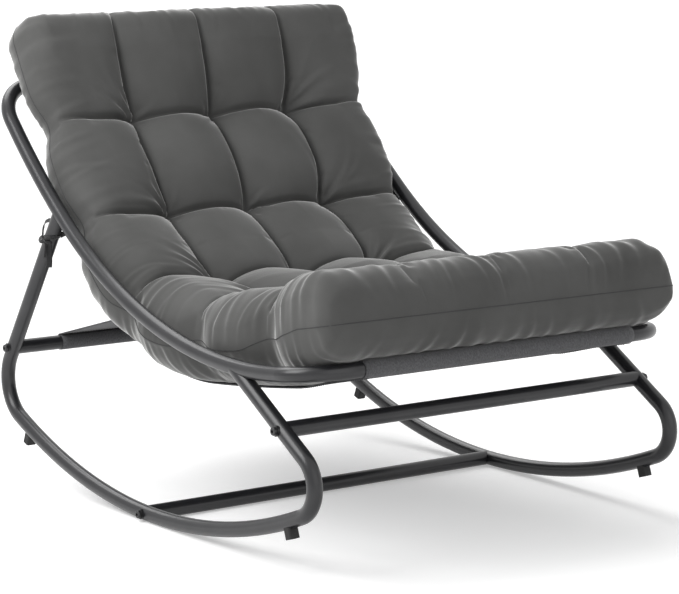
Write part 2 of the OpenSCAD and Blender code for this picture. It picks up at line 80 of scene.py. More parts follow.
# %% The cushion's middle line
LENGTH, WIDTH = 1.185, 0.690
ROWS, COLUMNS = 6, 4
ROW, COLUMN = 0.1955, WIDTH / COLUMNS
ROW_AT = (0, ROW, 2 * ROW, 3 * ROW, 4 * ROW, 5 * ROW, LENGTH)
LINE_START = (-0.492733, 0.385255)
LINE_HEADING = radians(-11.3)
ARCS = ((3.950, radians(6.3)), (0.345, radians(57.0)), (2.3478, radians(90.0)))


def middle_line(s):
    """y, z and heading of the cushion's middle line, s metres from its front seam."""
    s = np.asarray(s, float)
    y, z = np.full(s.shape, LINE_START[0]), np.full(s.shape, LINE_START[1])
    heading, rest = np.full(s.shape, LINE_HEADING), s.copy()
    for radius, turn in ARCS:
        after = heading + np.clip(rest / radius, 0, turn)
        y += radius * (np.sin(after) - np.sin(heading))
        z += radius * (np.cos(heading) - np.cos(after))
        heading = after
        rest = rest - radius * turn
    return y, z, heading


def on_line(s, x, height):
    """Points x across the chair and a height over the middle line."""
    y, z, heading = middle_line(s)
    x = np.broadcast_to(x, y.shape)
    return np.stack([x, y - height * np.sin(heading), z + height * np.cos(heading)], axis=-1)


print("top seam at", on_line(LENGTH, 0, 0).round(3))

# %% [markdown]
# The cushion has six rows of four pillows. Between them a tuft of thread pulls the top cover right down
# at fifteen points, and the cover folds into creases from tuft to tuft. The front row has hardly any
# creases across it and makes one long roll. The edge is round, the sides draw in at each row of tufts,
# and the long edges hang beside the sling. A formula gives this form with no wrinkles.

# %% Sizes of the pillows
# Each table gives distances along the cushion, and the value that belongs to each of them.
PILLOW_HEIGHT = (
    (0.10, 0.16, 0.25, 0.34, 0.40, 0.48, 0.60, 0.68, 0.92, 1.02, 1.10),
    (0.086, 0.084, 0.066, 0.062, 0.066, 0.070, 0.068, 0.062, 0.062, 0.070, 0.084))
DEPTH = (
    (0.0484, 0.1188, 0.1975, 0.69125, 0.88875, 1.00725),
    (0.05894, 0.086, 0.094, 0.094, 0.0742, 0.0544))
FRONT_DEPTH = ((0.10, 0.18), (0.96, 1))
# How deep a crease is, and the height that is left over the seam at a tuft.
CREASE, TUFT = 0.032, 0.002
# How full each pillow is: a group for each row, from the front, with a number for each column.
FILL = np.array((
    (1.00, 1.00, 1.00, 1.00), (1.00, 1.00, 1.00, 1.00), (1.00, 1.00, 1.10, 1.05),
    (1.05, 1.00, 1.00, 0.96), (0.88, 0.97, 1.00, 0.92), (0.83, 0.95, 1.03, 1.07)))
print("pillows:", FILL.size, "from", min(PILLOW_HEIGHT[1]), "to", max(PILLOW_HEIGHT[1]), "m over the seam")

# %% Rounded shapes
def rounded(d, radius, full=2.25):
    """The rise of a rounded edge, from 0 at d = 0 to 1 at d = radius."""
    return (1 - (1 - np.clip(d / radius, 0, 1)) ** full) ** (1 / full)


def crest(d, pitch):
    """The rounded rise of a pillow, from 0 in the crease at d = 0 to 1 at its middle."""
    return rounded(np.abs(d), pitch / 2, 2.3)


def hollow(d, width):
    return np.exp(-((d / width) ** 2))


def from_end(s):
    return np.minimum(s, LENGTH - s)


def from_side(c):
    return np.minimum(c, WIDTH - c)


def row_of(s):
    return np.interp(s, ROW_AT, range(ROWS + 1))


def from_tufts(s, c):
    """Signed distances to the nearest tuft row and to the nearest tuft column."""
    u, v = row_of(s), c / COLUMN
    ds = (u - np.clip(np.round(u), 1, ROWS - 1)) * ROW
    return ds, (v - np.clip(np.round(v), 1, COLUMNS - 1)) * COLUMN


def fill_at(s, c):
    """How full the pillows are made round here. No two are filled quite alike."""
    u, v = np.clip(row_of(s) - 0.5, 0, ROWS - 1), np.clip(c / COLUMN - 0.5, 0, COLUMNS - 1)
    i, j = np.minimum(u.astype(int), ROWS - 2), np.minimum(v.astype(int), COLUMNS - 2)
    p, q = u - i, v - j
    nearer = (1 - q) * FILL[i, j] + q * FILL[i, j + 1]
    farther = (1 - q) * FILL[i + 1, j] + q * FILL[i + 1, j + 1]
    return (1 - p) * nearer + p * farther


print("rise of a pillow 20 mm from its crease:", round(float(crest(0.020, COLUMN)), 2))

# %% The outline and its drooping sides
CORNER_ROUND = ((0.5, 1.0), (0.026, 0.042))
WIDER_FRONT = ((0.09, 0.17), (0.010, 0))
DRAWN_IN, DRAWN_REACH = 0.017, 0.038
SLING_WIDTH = 0.544
DROOP = 0.030
DROOP_SHARE = ((0.08, 0.13, 0.17, 0.25, 0.6, 0.82), (0, 0.25, 0.65, 1, 1, 0))


def half_width(s):
    """Half the width: a little more at the front, less at each row of tufts, and round corners."""
    radius = np.interp(s, *CORNER_ROUND)
    corner = np.maximum(0, radius - from_end(s))
    drawn = DRAWN_IN * hollow(from_tufts(s, 0 * s)[0], DRAWN_REACH)
    return WIDTH / 2 + np.interp(s, *WIDER_FRONT) - drawn - (radius - np.sqrt(radius**2 - corner**2))


def droop(s, x):
    """How far the part beside the sling hangs down."""
    beside = np.maximum(0, 2 * np.abs(x) - SLING_WIDTH) / (WIDTH - SLING_WIDTH)
    return DROOP * beside**2 * np.interp(s, *DROOP_SHARE)


widths = 2 * half_width(np.array((1.5, 2.0)) * ROW)
print("width at a crest and at a row of tufts:", widths.round(3), "m")

# %% The top and the underside
END_ROUND = ((0.5, 1.0), (0.064, 0.046))
TOP_SIDE_ROUND = ((0.06, 0.20, 1.00, 1.10), (0.044, 0.072, 0.072, 0.044))
LOW_SIDE_ROUND = ((0.06, 0.20, 1.00, 1.10), (0.050, 0.100, 0.080, 0.050))
CREASES_ALONG = ((0.045, 0.165, 1.09, 1.165), (0.12, 1, 1, 0.35))
CREASES_ACROSS = ((0.01, 0.07), (0.35, 1))
TUFT_REACH, TUFT_POINT = 0.040, 1.3


def end_rise(s):
    return rounded(from_end(s), np.interp(s, *END_ROUND))


def side_rise(s, c, side_round):
    return rounded(from_side(c), np.interp(s, *side_round))


def top_height(s, c, swell=1.0):
    """Height over the seam: pillows, less their creases, less a pointed pit at each tuft."""
    ds, dc = from_tufts(s, c)
    pillow = np.interp(s, *PILLOW_HEIGHT) * fill_at(s, c) * swell
    along, across = np.interp(s, *CREASES_ALONG), np.interp(from_side(c), *CREASES_ACROSS)
    rise = (1 - across * (1 - crest(ds, ROW))) * (1 - along * (1 - crest(dc, COLUMN)))
    tuft = (pillow - CREASE - TUFT) * np.exp(-((np.hypot(ds, dc) / TUFT_REACH) ** TUFT_POINT))
    edge = end_rise(s) * side_rise(s, c, TOP_SIDE_ROUND)
    return edge * (pillow - CREASE * (1 - rise) - tuft)


def depth_at(s):
    return np.interp(s, *DEPTH)


def bottom_depth(s, c):
    """Depth under the seam, 4% less at the front so that the cushion lies clear of the bar's sleeve."""
    return depth_at(s) * np.interp(s, *FRONT_DEPTH) * end_rise(s) * side_rise(s, c, LOW_SIDE_ROUND)


print("front pillow is", top_height(ROW / 2, COLUMN / 2).round(3), "m high, and over",
      bottom_depth(ROW / 2, WIDTH / 2).round(3), "m of filling")

# %% [markdown]
# The cover is one closed net of small squares, a top and a bottom that share the seam. The squares are
# about 6 mm wide for the cloth simulation. A line of the net runs exactly along every crease, so a
# crease can be held and stays sharp.

# %% The net of the cushion
SQUARES_ALONG, SQUARES_ACROSS = 32, 28
START_SWELL = 0.96


def grid(fine):
    """Distances along and across for each point of the top, at fine squares for one plain square."""
    rows = np.interp(np.linspace(0, ROWS, ROWS * SQUARES_ALONG * fine + 1), range(ROWS + 1), ROW_AT)
    return np.meshgrid(rows, np.linspace(0, WIDTH, COLUMNS * SQUARES_ACROSS * fine + 1), indexing="ij")


def net_index(shape):
    """Point numbers of the top grid and of the bottom grid, which shares the top's border."""
    top = np.arange(shape[0] * shape[1]).reshape(shape)
    low = top.copy()
    low[1:-1, 1:-1] = top.size + np.arange(low[1:-1, 1:-1].size).reshape(low[1:-1, 1:-1].shape)
    return top, low


def net_points(S, C, swell):
    """Top points, then the bottom points inside the seam. swell is the share of the full pillow height."""
    X = (2 * C / WIDTH - 1) * half_width(S)
    hang = droop(S, X)
    top = on_line(S, X, top_height(S, C, swell) - hang)
    bottom = on_line(S, X, -np.maximum(bottom_depth(S, C), hang))
    return np.concatenate([top.reshape(-1, 3), bottom[1:-1, 1:-1].reshape(-1, 3)])


def squares(index, turned):
    """Four-sided faces of a grid of point numbers."""
    a, b, c, d = index[:-1, :-1], index[:-1, 1:], index[1:, 1:], index[1:, :-1]
    corners = (a, d, c, b) if turned else (a, b, c, d)
    return np.stack(corners, axis=-1).reshape(-1, 4).tolist()


def mesh_object(name, points, faces):
    """A smooth-shaded mesh as an object in the scene."""
    mesh = bpy.data.meshes.new(name)
    mesh.from_pydata([tuple(p) for p in points], [], faces)
    mesh.polygons.foreach_set("use_smooth", [True] * len(mesh.polygons))
    piece = bpy.data.objects.new(name, mesh)
    scene.collection.objects.link(piece)
    return piece


S, C = grid(1)
top_index, low_index = net_index(S.shape)
start = net_points(S, C, START_SWELL)
print("cushion net:", len(start), "points")

# %% [markdown]
# Real folds come from cloth that is a little too large for what holds it. So the cover is held along its
# seam, creases and tufts, and where it lies on the sling, air pressure stands in for the filling, and
# the cloth is given a little slack, most of it near the tufts and the seam, where a maker gathers it.
# Twenty frames are enough, and a cap keeps each point near its start.

# %% What holds the cover
ON_LINE, TUFT_SIZE = 0.001, 0.008
CREASE_FROM_SIDE, CREASE_FROM_FRONT, CREASE_FROM_TOP = 0.045, 0.150, 0.06
ON_SLING, ABOVE_SLING = 0.250, 1.03
TUFT_GATHER, TUFT_GATHER_REACH = 1.3, 0.055
SEAM_GATHER, SEAM_GATHER_REACH = 0.8, 0.045
LOW_GATHER = 0.6

held, slack = np.zeros(len(start)), np.zeros(len(start))
edge_distance = np.minimum(from_end(S), from_side(C))
ds, dc = (np.abs(d) for d in from_tufts(S, C))
tuft_distance = np.hypot(ds, dc)
row_crease = (ds < ON_LINE) & (from_side(C) > CREASE_FROM_SIDE)
column_crease = (dc < ON_LINE) & (S > CREASE_FROM_FRONT) & (S < LENGTH - CREASE_FROM_TOP)
held[top_index[row_crease | column_crease | (tuft_distance < TUFT_SIZE) | (edge_distance < ON_LINE)]] = 1
lies = (np.abs(C - WIDTH / 2) < ON_SLING) | (S > ABOVE_SLING)
held[low_index[1:-1, 1:-1][lies[1:-1, 1:-1]]] = 1
at_tufts = TUFT_GATHER * hollow(tuft_distance, TUFT_GATHER_REACH)
at_seam = SEAM_GATHER * hollow(edge_distance, SEAM_GATHER_REACH)
gather = np.clip(at_tufts + at_seam, 0, 1)
slack[top_index] = 1 - gather
slack[low_index[1:-1, 1:-1]] = 1 - LOW_GATHER * gather[1:-1, 1:-1]


def paint_group(piece, name, weights):
    group = piece.vertex_groups.new(name=name)
    for level in np.unique(weights.round(2)):
        group.add(np.nonzero(weights.round(2) == level)[0].tolist(), float(level), "REPLACE")


print("held points:", int(held.sum()))

# %% Fill the cover
PRESSURE, FRAMES, CAP = 2.6, 20, 0.007


def fill_cover():
    """Inflate the held net as cloth for a few frames, and return its points."""
    piece = mesh_object("filling", start, squares(top_index, False) + squares(low_index, True))
    paint_group(piece, "held", held)
    paint_group(piece, "slack", slack)
    modifier = piece.modifiers.new("Cloth", "CLOTH")
    cloth = modifier.settings
    cloth.quality = 5
    cloth.mass = 0.3
    cloth.tension_stiffness = cloth.compression_stiffness = 15
    cloth.shear_stiffness = 5
    cloth.bending_stiffness = 6.0
    cloth.use_pressure = True
    cloth.uniform_pressure_force = PRESSURE
    cloth.effector_weights.gravity = 0
    cloth.vertex_group_mass = "held"
    cloth.vertex_group_shrink = "slack"
    cloth.shrink_min = -0.014
    cloth.shrink_max = 0.0
    modifier.point_cache.frame_start, modifier.point_cache.frame_end = 1, FRAMES
    for number in range(1, FRAMES + 1):
        scene.frame_set(number)
    filled = piece.evaluated_get(bpy.context.evaluated_depsgraph_get()).data
    points = np.empty(len(filled.vertices) * 3)
    filled.vertices.foreach_get("co", points)
    bpy.data.objects.remove(piece)
    scene.frame_set(1)
    return points.reshape(-1, 3)


points = fill_cover()
moved = points - start
far = np.linalg.norm(moved, axis=1)
print("cover moved", round(far.mean() * 1000, 1), "mm on average,",
      round(far.max() * 1000, 1), "at most")
points = start + moved * np.minimum(1, CAP / np.maximum(far, 1e-9))[:, None]

# %% [markdown]
# The fine folds of velvet are narrower than the squares of the simulation. So the net is made twice as
# fine, through smooth curves along both of its directions, and then gets the folds that a sewing hand
# makes: short ones that fan out from each tuft, and shallow ones square to the seam all round.

# %% A net twice as fine
def twice(grid_points, axis):
    """Adds a point halfway along each step of an axis, on a smooth curve through the old points."""
    p = np.moveaxis(grid_points, axis, 0)
    padded = np.concatenate([[2 * p[0] - p[1]], p, [2 * p[-1] - p[-2]]])
    between = (9 * (padded[1:-2] + padded[2:-1]) - padded[:-3] - padded[3:]) / 16
    out = np.empty((2 * len(p) - 1, *p.shape[1:]))
    out[::2], out[1::2] = p, between
    return np.moveaxis(out, 0, axis)


top_points = twice(twice(points[top_index], 0), 1)
low_points = twice(twice(points[low_index], 0), 1)
S, C = grid(2)
print("fine net:", S.shape)

# %% Folds at the tufts and along the seam
hand = np.random.default_rng(11)
TUFT_FOLDS, LONG_FOLDS, UPWARD_FOLDS = 10, 7, 4
VALLEY, VALLEY_AT = 0.55, 1.7


def fold_across(away, width):
    """A rounded ridge with a small valley on one side of it."""
    return hollow(away, width) - VALLEY * hollow(away - VALLEY_AT * width, width)


def tuft_folds(S, C):
    """Folds that fan out from each tuft. At the outer tufts most are long, and lean or run outwards."""
    height = np.zeros(S.shape)
    along_s = (row_of(S) - np.arange(1, ROWS)[:, None, None]) * ROW
    for row in range(1, ROWS):
        for column in range(1, COLUMNS):
            ds, dc = along_s[row - 1], C - column * COLUMN
            near = np.hypot(ds, dc)
            for k in range(TUFT_FOLDS):
                turn, long = radians(hand.uniform(0, 360)), hand.uniform(0.022, 0.045)
                bend, tall = hand.uniform(-4, 4), hand.uniform(0.0008, 0.0018)
                if k < LONG_FOLDS and column != COLUMNS // 2:
                    sweep = hand.uniform(2, 40) if k < UPWARD_FOLDS else hand.uniform(58, 86)
                    turn = radians(90 + sweep if column == 1 else 90 - sweep)
                    long, tall = hand.uniform(0.050, 0.095), hand.uniform(0.0013, 0.0026)
                forward = dc * cos(turn) + ds * sin(turn)
                away = ds * cos(turn) - dc * sin(turn) + bend * forward**2
                fading = hollow(np.maximum(0, forward - long * 0.4), long * 0.8)
                shape = np.clip(forward / 0.012, 0, 1) * fading
                height += tall * shape * fold_across(away, 0.0034 + 0.05 * near)
    return height


def seam_folds(S, C, reach=1.0):
    """Folds square to the seam: along it, in from it, its length, how many, and how strong."""
    height = np.zeros(S.shape)
    front, back = (C, S, WIDTH, 22, 1.5), (C, LENGTH - S, WIDTH, 26, 0.6)
    sides = (S, C, LENGTH, 44, 1), (S, WIDTH - C, LENGTH, 44, 1)
    for run, inside, end, many, strong in (front, back, *sides):
        for k in range(many):
            at = (k + hand.uniform(0.1, 0.9)) * end / many
            tall = strong * hand.uniform(0.0004, 0.0023)
            wide = hand.uniform(0.0045, 0.0085) * max(1, strong)
            slant, long = hand.uniform(-0.35, 0.35), hand.uniform(0.035, 0.085) * max(1, strong)
            shape = np.clip(inside / 0.006, 0, 1) * hollow(inside, long)
            height += tall * reach * shape * fold_across(run - at - slant * inside, wide)
    return height


def surface_normals(grid_points):
    along, across = np.gradient(grid_points, axis=0), np.gradient(grid_points, axis=1)
    normal = np.cross(across, along)
    return normal / np.maximum(np.linalg.norm(normal, axis=-1), 1e-9)[..., None]


folds, low_folds = seam_folds(S, C) + tuft_folds(S, C), seam_folds(S, C, 0.7)
top_points = top_points + surface_normals(top_points) * folds[..., None]
low_points = low_points - surface_normals(low_points) * low_folds[..., None]
print("folds up to", round(float(np.abs(folds).max()) * 1000, 1), "mm")

# %% [markdown]
# Neighbouring pillows press against each other in a crease, where the cloth sees no contact with itself.
# Each point of the top is therefore kept inside its own pillow's cell, so two pillows meet in a thin
# dark line. The sides are kept between the rails as well.

# %% Keep each pillow in its cell
BETWEEN_RAILS, AIR = 0.3485, 0.0004
FRONT_ROOM = ((0.10, 0.17), (0.012, 0))
CREASED_FROM, CREASED_TO = 0.12, LENGTH - 0.03
ON_NET_LINE = 1e-4
NO_LIMIT = 9


def along_line(points, s_start):
    """Distance along the middle line, and height over it, of points that started at s_start."""
    y, z, heading = middle_line(s_start)
    ahead = (points[..., 1] - y) * np.cos(heading) + (points[..., 2] - z) * np.sin(heading)
    over = (points[..., 2] - z) * np.cos(heading) - (points[..., 1] - y) * np.sin(heading)
    ends = np.cumsum([r * t for r, t in ARCS])
    arc = np.clip(np.searchsorted(ends, s_start, "right"), 0, len(ARCS) - 1)
    radius = np.array([r for r, _ in ARCS])[arc]
    return s_start + radius * np.arctan2(ahead, radius - over), over


def keep_in_cells(points, S, C):
    """The points, with each one that has crossed a crease put back just inside its own pillow."""
    s_now, height = along_line(points, S)
    edge = np.maximum(half_width(s_now), 0.01)
    c_now = (points[..., 0] / edge + 1) * WIDTH / 2
    u, v = row_of(S), C / COLUMN
    row = np.clip(np.floor(u + 1e-6), 0, ROWS - 1).astype(int)
    column = np.clip(np.floor(v + 1e-6), 0, COLUMNS - 1).astype(int)
    row_at = np.array(ROW_AT)
    low_s = np.where(row > 0, row_at[row] + AIR, -NO_LIMIT)
    high_s = np.where(row < ROWS - 1, row_at[row + 1] - AIR, NO_LIMIT)
    low_c = np.where(column > 0, column * COLUMN + AIR, -NO_LIMIT)
    high_c = np.where(column < COLUMNS - 1, (column + 1) * COLUMN - AIR, NO_LIMIT)
    s_kept = np.where(np.abs(u - np.round(u)) > ON_NET_LINE, np.clip(s_now, low_s, high_s), s_now)
    c_kept = np.where(np.abs(v - np.round(v)) > ON_NET_LINE, np.clip(c_now, low_c, high_c), c_now)
    kept = on_line(s_kept, (2 * c_kept / WIDTH - 1) * edge, height)
    creased = (S > CREASED_FROM) & (S < CREASED_TO)
    return np.where(creased[..., None], kept, points)


top_points = keep_in_cells(top_points, S, C)
points = np.concatenate([top_points.reshape(-1, 3), low_points[1:-1, 1:-1].reshape(-1, 3)])
along = np.concatenate([S.ravel(), S[1:-1, 1:-1].ravel()])
room = BETWEEN_RAILS + np.interp(along, *FRONT_ROOM)
points[:, 0] = np.clip(points[:, 0], -room, room)
top_index, low_index = net_index(S.shape)
cushion = mesh_object("cushion_cover", points, squares(top_index, False) + squares(low_index, True))
print("cushion is", (points.max(0) - points.min(0)).round(3), "m")

# %% [markdown]
# The two halves of the cover are sewn together all round. The seam shows as a thin dark line in a small
# groove, so a fine dark tube follows the shared edge of the net, just inside its surface: the seam's
# thread, and painted shade that deepens the groove's line.

# %% The cushion's seam
SEAM_RADIUS = 0.0007


def unit(vectors):
    return vectors / np.linalg.norm(vectors, axis=-1)[..., None]


def closed_tube(name, path, radius, sides=6):
    """A round tube along a closed run of points, its rings square to the path."""
    n = len(path)
    ahead = unit(np.roll(path, -1, axis=0) - np.roll(path, 1, axis=0))
    up = np.tile([0.0, 0.0, 1.0], (n, 1))
    up[np.abs(ahead[:, 2]) > 0.95] = (1.0, 0.0, 0.0)
    side = unit(np.cross(ahead, up))
    up = np.cross(side, ahead)
    turn = np.linspace(0, 2 * pi, sides, endpoint=False)[None, :, None]
    rings = path[:, None] + radius * (np.cos(turn) * side[:, None] + np.sin(turn) * up[:, None])
    faces = []
    for i in range(n):
        here, there = i * sides, (i + 1) % n * sides
        faces += [
            (here + k, here + (k + 1) % sides, there + (k + 1) % sides, there + k) for k in range(sides)]
    return mesh_object(name, rings.reshape(-1, 3), faces)


border = np.concatenate([top_index[0, :-1], top_index[:-1, -1], top_index[-1, :0:-1], top_index[:0:-1, 0]])
seam_path = points[border]
seam_path = (np.roll(seam_path, 1, axis=0) + 2 * seam_path + np.roll(seam_path, -1, axis=0)) / 4
sewn_edge_with_painted_shade = closed_tube("sewn_edge_with_painted_shade", seam_path, SEAM_RADIUS)
print("seam:", len(border), "points")

# %% [markdown]
# The sling is one panel of woven cloth with a sleeve round the front bar and one round the top bar. The
# cushion's weight holds it in the shape of the cushion's underside. A second panel runs from the sling
# to a sleeve on the rear crossbar. Each is a strip drawn along its side view, with its edges turned
# under and sewn.

# %% The paths of the sling and the flap
def middle_of(node):
    low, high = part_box(node)
    return (low[1] + high[1]) / 2, (low[2] + high[2]) / 2


SLEEVE, RING_STEPS, SLING_STEPS = 0.01355, 40, 120
# A sleeve's ring stays open by this many degrees, where its cloth runs on into the panel.
RING_OPEN, TOP_LEAN = 25, 60.3
SLING_SPAN, FLAP_SPAN = (0.1188, 1.078), (0.668, 0.644)
UNDER_CUSHION, UNDER_SLING = 0.00105, 0.0017
front_bar, top_bar, rear_bar = (middle_of(n) for n in ("front_bar", "top_bar", "rear_crossbar"))


def ring(at, first, last):
    """Part of a sleeve's round path about a bar, from one angle to another in degrees."""
    turn = np.radians(np.linspace(first, last, RING_STEPS))
    return np.stack([at[0] + SLEEVE * np.cos(turn), at[1] + SLEEVE * np.sin(turn)], axis=-1)


def touch(at, p):
    """The angle at which a straight run from p meets the sleeve."""
    v = (p[0] - at[0], p[1] - at[1])
    return degrees(atan2(v[1], v[0]) - acos(SLEEVE / hypot(*v)))


def below(s, extra):
    """The side-view run of cloth under the cushion."""
    return on_line(s, 0, -depth_at(s) - UNDER_CUSHION - extra)[:, 1:]


sling_run = below(np.linspace(*SLING_SPAN, SLING_STEPS), 0)
leave = touch(front_bar, sling_run[0])
sling_path = np.concatenate([
    ring(front_bar, leave + RING_OPEN, leave + 360), sling_run,
    ring(top_bar, TOP_LEAN + 90, TOP_LEAN - (270 - RING_OPEN))])
flap_run = below(np.linspace(*FLAP_SPAN, 5), UNDER_SLING)
leave = touch(rear_bar, flap_run[0])
flap_path = np.concatenate([ring(rear_bar, leave + RING_OPEN, leave + 360), flap_run])
print("sling and flap:", len(sling_path), len(flap_path), "points")

# %% Cloth strips
SLING_HALF, FLAP_HALF = SLING_WIDTH / 2, 0.270
CLOTH, STEP, STEP_ACROSS = 0.0010, 0.006, 0.011


def run_length(path):
    """The distance along a run at each of its points."""
    return np.concatenate([[0], np.cumsum(np.linalg.norm(np.diff(path, axis=0), axis=1))])


def even_run(path, step):
    length = run_length(path)
    at = np.linspace(0, length[-1], int(length[-1] / step) + 2)
    return np.stack([np.interp(at, length, path[:, k]) for k in range(2)], axis=-1)


def thicken(piece, thick):
    solid = piece.modifiers.new("Thickness", "SOLIDIFY")
    solid.thickness, solid.offset = thick, 0


def cloth_strip(name, path, half):
    """A strip of cloth across the chair along a side-view path, with its cut size in its UV map."""
    path = even_run(path, STEP)
    across = np.linspace(-half, half, 2 * int(half / STEP_ACROSS) + 1)
    length = run_length(path)
    L, A = np.meshgrid(np.arange(len(path)), across, indexing="ij")
    points = np.stack([A, path[L, 0], path[L, 1]], axis=-1).reshape(-1, 3)
    index = np.arange(L.size).reshape(L.shape)
    piece = mesh_object(name, points, squares(index, False))
    uv = piece.data.uv_layers.new(name="cut")
    loop_at = np.empty(len(piece.data.loops), int)
    piece.data.loops.foreach_get("vertex_index", loop_at)
    uv.data.foreach_set("uv", np.stack([A.ravel()[loop_at], length[L].ravel()[loop_at]], axis=-1).ravel())
    thicken(piece, CLOTH)
    return piece, length[-1]


sling_cloth, sling_length = cloth_strip("sling_cloth", sling_path, SLING_HALF)
flap_cloth, flap_length = cloth_strip("flap_cloth", flap_path, FLAP_HALF)
print("sling cut to", SLING_WIDTH, "x", round(sling_length, 3), "m,",
      "flap to", 2 * FLAP_HALF, "x", round(flap_length, 3), "m")

# %% [markdown]
# Hems and stitches tell the eye that the panels are cloth. Each long edge is turned under in a narrow
# band and sewn with one row of short thread stitches, and a row of stitches closes each sleeve. The hems
# are darker than the panels: painted shade for the edges that lie in shadow under the cushion.

# %% Stitches
STITCH, GAP, THREAD = 0.0034, 0.0022, 0.0005
FIRST_STITCH, STITCH_FACES = 0.002, 14
ENDS_OF_STITCH = ((0, 0.4), (0.25, 1), (0.75, 1), (1, 0.4))


def offset_run(path, away):
    ahead = unit(np.gradient(path, axis=0))
    return path + away * np.stack([ahead[:, 1], -ahead[:, 0]], axis=-1)


def stitch_row(points):
    """Short thread stitches along 3-D points, as lists of points and faces."""
    run = run_length(points)
    verts, faces = [], []
    for at in np.arange(FIRST_STITCH, run[-1] - STITCH, STITCH + GAP):
        ends = [np.array([np.interp(t, run, points[:, k]) for k in range(3)]) for t in (at, at + STITCH)]
        ahead = (ends[1] - ends[0]) / np.linalg.norm(ends[1] - ends[0])
        side = np.cross(ahead, (0.0, 0.6, 0.8) if abs(ahead[0]) > 0.5 else (1.0, 0.0, 0.0))
        side /= np.linalg.norm(side)
        up = np.cross(side, ahead)
        base = len(verts)
        for place, size in ENDS_OF_STITCH:
            middle = ends[0] + place * (ends[1] - ends[0])
            verts += [tuple(middle + THREAD * size * (cos(a) * side + sin(a) * up))
                      for a in (0, pi / 2, pi, 3 * pi / 2)]
        for here in (base, base + 4, base + 8):
            faces += [
                (here + k, here + (k + 1) % 4, here + 4 + (k + 1) % 4, here + 4 + k) for k in range(4)]
        faces += [(base + 3, base + 2, base + 1, base), (base + 12, base + 13, base + 14, base + 15)]
    return verts, faces


print("a stitch is", STITCH, "m long")

# %% Hems
HEM_WIDTH, HEM, SEWN_AT = 0.014, 0.0008, 0.011


def at_x(run, x):
    return np.stack([np.full(len(run), x), run[:, 0], run[:, 1]], axis=-1)


def hem_and_rows(path, half, name):
    """Two hems under the long edges of a strip, and the row of stitches that holds each."""
    run = offset_run(even_run(path, STEP), CLOTH)
    n = len(run)
    faces, verts = [], []
    for x0, x1 in ((-half, -half + HEM_WIDTH), (half - HEM_WIDTH, half)):
        base = len(verts)
        verts += [tuple(p) for p in at_x(run, x0)] + [tuple(p) for p in at_x(run, x1)]
        faces += [(i, n + i, n + i + 1, i + 1) for i in range(base, base + n - 1)]
    hem = mesh_object(name + "_hem", verts, faces)
    thicken(hem, HEM)
    lower = offset_run(even_run(path, STEP), 2 * HEM)
    return hem, [stitch_row(at_x(lower, side * (half - SEWN_AT))) for side in (-1, 1)]


sling_edge = sling_path[RING_STEPS - 1 : RING_STEPS + SLING_STEPS]
flap_edge = even_run(flap_path[RING_STEPS - 1 :], STEP)
sling_hem, sling_rows = hem_and_rows(sling_edge, SLING_HALF, "sling")
flap_hem, flap_rows = hem_and_rows(flap_edge, FLAP_HALF, "flap")
print("hems:", len(sling_hem.data.vertices), len(flap_hem.data.vertices), "points")

# %% Rows of stitches across
SLING_ROW, FLAP_ROW, SURFACE = 0.268, 0.266, 0.0008
ROW_STEP, ROW_POINTS = 0.004, 200


def cross_row(path, at, half, away):
    y, z = offset_run(even_run(path, ROW_STEP), away)[at]
    x = np.linspace(-half, half, ROW_POINTS)
    return stitch_row(np.stack([x, np.full(ROW_POINTS, y), np.full(ROW_POINTS, z)], axis=-1))


def joined_rows(name, rows):
    """One mesh of many rows of stitches."""
    verts, faces = [], []
    for v, f in rows:
        faces += [tuple(k + len(verts) for k in face) for face in f]
        verts += v
    return mesh_object(name, verts, faces)


sling_rows += [cross_row(sling_edge, at, SLING_ROW, SURFACE) for at in (4, -6)]
flap_rows += [cross_row(flap_edge, at, FLAP_ROW, SURFACE) for at in (4, -3)]
flap_rows += [cross_row(flap_edge, 4, FLAP_ROW, -SURFACE)]
sling_thread = joined_rows("sling_thread", sling_rows)
flap_thread = joined_rows("flap_thread", flap_rows)
stitch_faces = len(sling_thread.data.polygons) + len(flap_thread.data.polygons)
print("stitches:", stitch_faces // STITCH_FACES)

# %% [markdown]
# A ribbon on each side ties the cushion to the rear leg. It goes round the tube, back to the cushion's
# seam, and is knotted in a small bow on the outer side with two loose ends. A ribbon is a flat strip, so
# each stretch is a path with a direction for its width, which may twist on the way.

# %% Ribbon strips
RIBBON, RIBBON_THICK = 0.015, 0.0007
STRIP_STEPS, LANES = 8, 5
LEG = Vector((0, -cos(radians(56.4)), sin(radians(56.4))))
TIE = Vector((-0.3625, 0.2946, 0.4329))
RIGHT, AWAY = Vector((0.803, -0.596, 0)), Vector((0.589, 0.794, -0.148))


def smooth_run(points, steps):
    """A smooth run through points (Catmull-Rom)."""
    p = np.asarray(points, float)
    p = np.concatenate([[2 * p[0] - p[1]], p, [2 * p[-1] - p[-2]]])
    out = []
    for i in range(1, len(p) - 2):
        for t in np.linspace(0, 1, steps, endpoint=False):
            a, b, c, d = p[i - 1 : i + 3]
            square, cube = (2 * a - 5 * b + 4 * c - d) * t**2, (3 * b - a - 3 * c + d) * t**3
            out.append(0.5 * (2 * b + (c - a) * t + square + cube))
    return np.array(out + [p[-2]])


def ribbon_strip(path, widths, scale):
    """Points, faces and UVs of a flat strip; widths gives the direction of its width at each point."""
    run = smooth_run(path, STRIP_STEPS)
    side = smooth_run(widths, STRIP_STEPS)
    ahead = unit(np.gradient(run, axis=0))
    side = unit(side - (side * ahead).sum(axis=1)[:, None] * ahead)
    lane = np.linspace(-0.5, 0.5, LANES) * RIBBON * scale
    verts = (run[:, None] + lane[None, :, None] * side[:, None]).reshape(-1, 3)
    index = np.arange(len(verts)).reshape(len(run), LANES)
    uv = np.stack([np.tile(lane, len(run)), np.repeat(run_length(run), LANES)], axis=-1)
    return verts, squares(index, False), uv


print("a ribbon is", RIBBON, "m wide")

